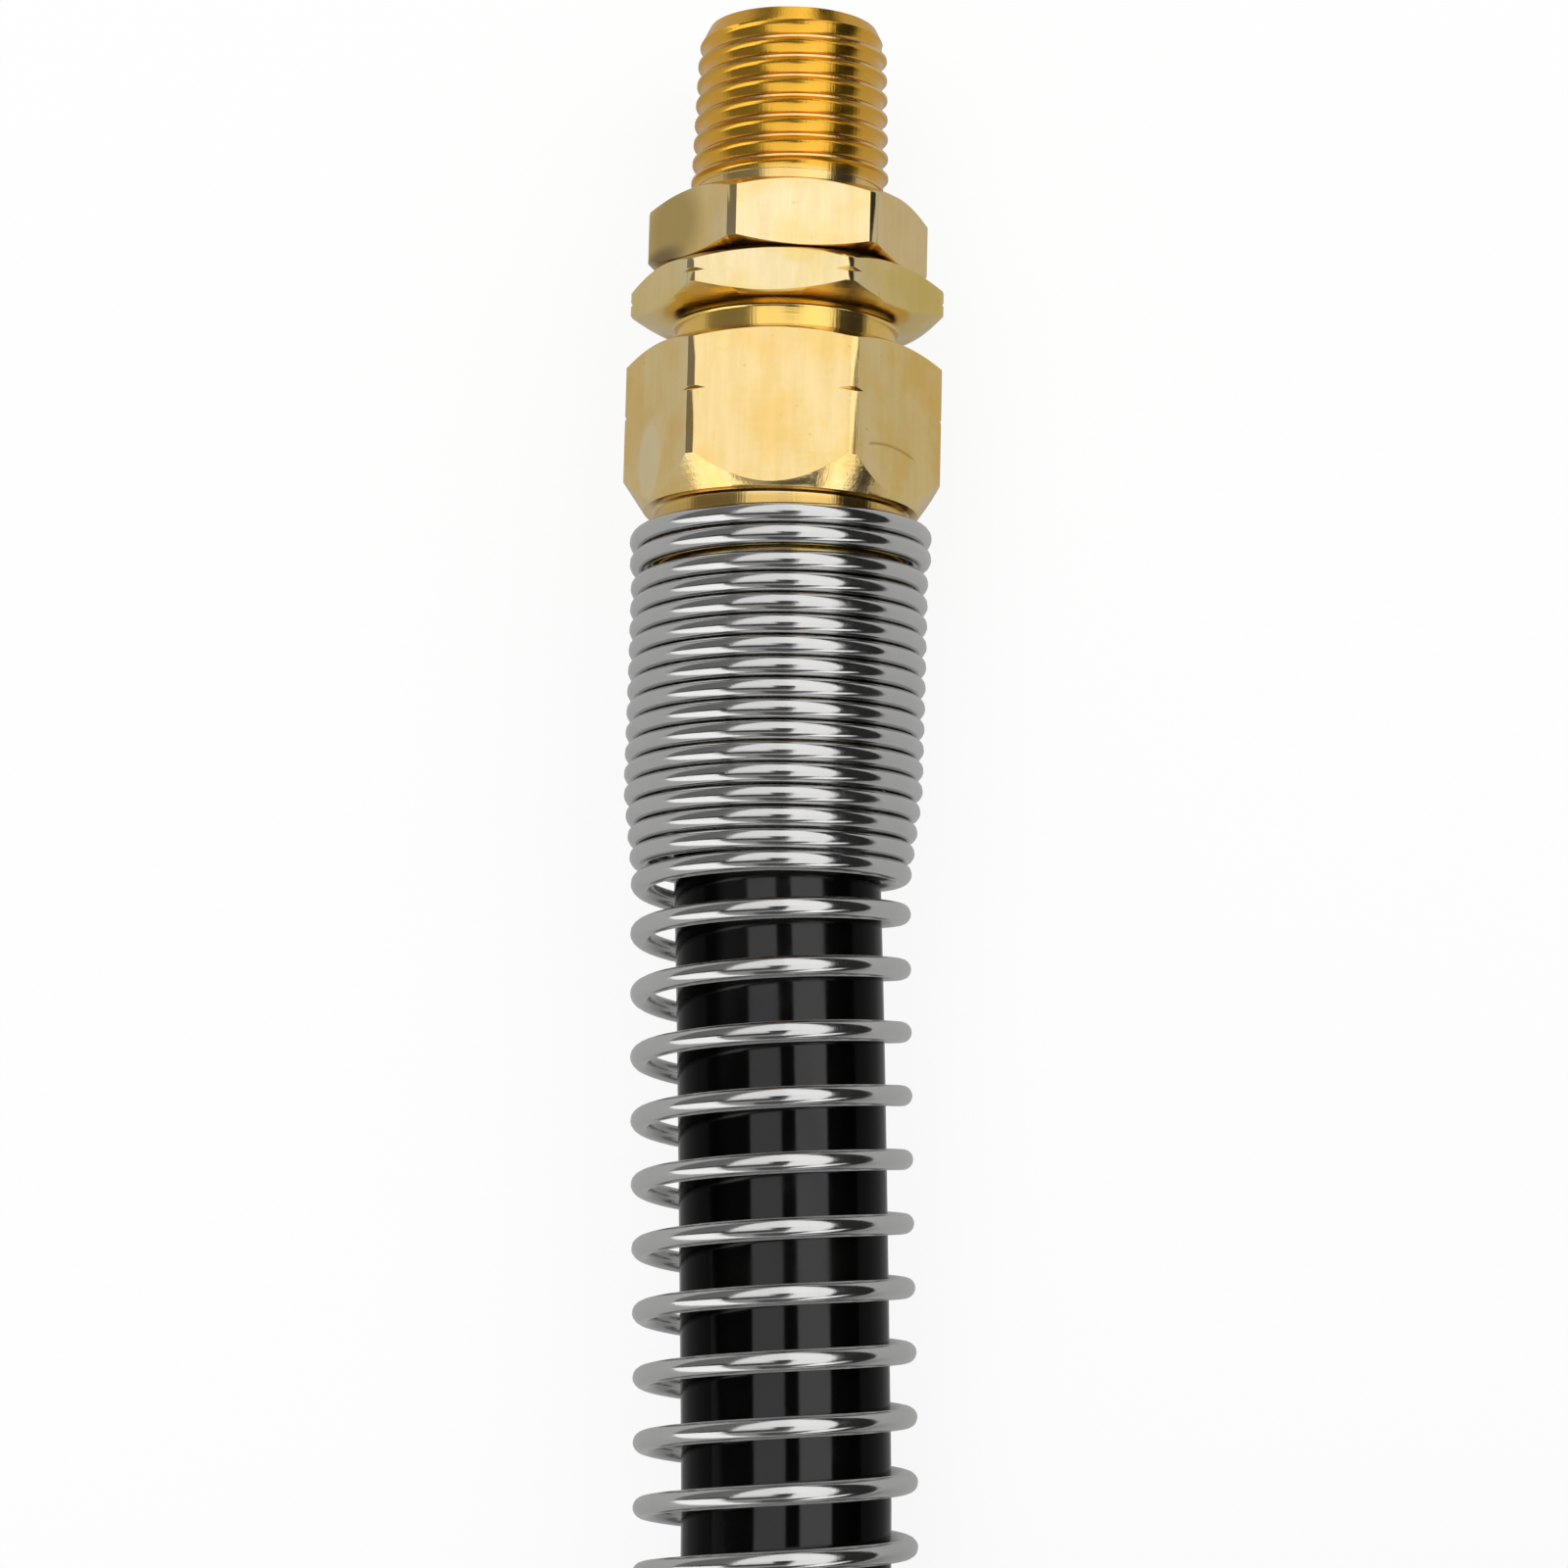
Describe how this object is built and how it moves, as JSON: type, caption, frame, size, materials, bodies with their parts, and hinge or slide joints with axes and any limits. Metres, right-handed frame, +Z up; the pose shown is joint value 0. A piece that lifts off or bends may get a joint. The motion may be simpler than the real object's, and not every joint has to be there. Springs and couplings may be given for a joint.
{
  "type": "recoil air hose",
  "caption": "Coiled black air hose lying on its side, with a brass male pipe thread swivel fitting and a chromed wire bend guard at each end.",
  "frame": {"origin": "on the ground under the middle of the coil, which is the bottom centre of the two end fittings and guards together", "axes": "+Y along the near fitting and out of its thread tip, the object's longest side; +X along the coil's axis towards the far end; +Z up from the ground it lies on"},
  "size_m": [0.1856, 0.362, 0.1376],
  "materials": {
    "brass": "bright turned brass, fine brushing on the hexagon flats",
    "chromed_wire": "bright chromed spring wire",
    "spring_steel": "plain spring steel",
    "hose": "glossy black polyurethane",
    "seal_rubber": "satin",
    "nylon": "natural nylon"
  },
  "bodies": {
    "hose_assembly": {"near_thrust_washer": "nylon", "near_retaining_ring": "spring_steel", "near_hose_body": "brass", "near_ferrule": "brass", "near_clamp_nut": "brass", "near_spring_guard": "chromed_wire", "near_hose": "hose", "far_thrust_washer": "nylon", "far_retaining_ring": "spring_steel", "far_hose_body": "brass", "far_ferrule": "brass", "far_clamp_nut": "brass", "far_spring_guard": "chromed_wire", "far_hose": "hose", "hose_coil": "hose"},
    "near_swivel": {"near_swivel_stem": "brass", "near_stem_oring_1": "seal_rubber", "near_stem_oring_2": "seal_rubber"},
    "far_swivel": {"far_swivel_stem": "brass", "far_stem_oring_1": "seal_rubber", "far_stem_oring_2": "seal_rubber"}
  },
  "joints": [
    {"name": "near_swivel_turn", "type": "hinge", "parent": "hose_assembly", "child": "near_swivel", "pos_m": [-0.08185, 0.165, 0.01029], "axis": [0, 1, 0], "continuous": true},
    {"name": "far_swivel_turn", "type": "hinge", "parent": "hose_assembly", "child": "far_swivel", "pos_m": [0.08185, -0.165, 0.01029], "axis": [0, -1, 0], "continuous": true}
  ]
}
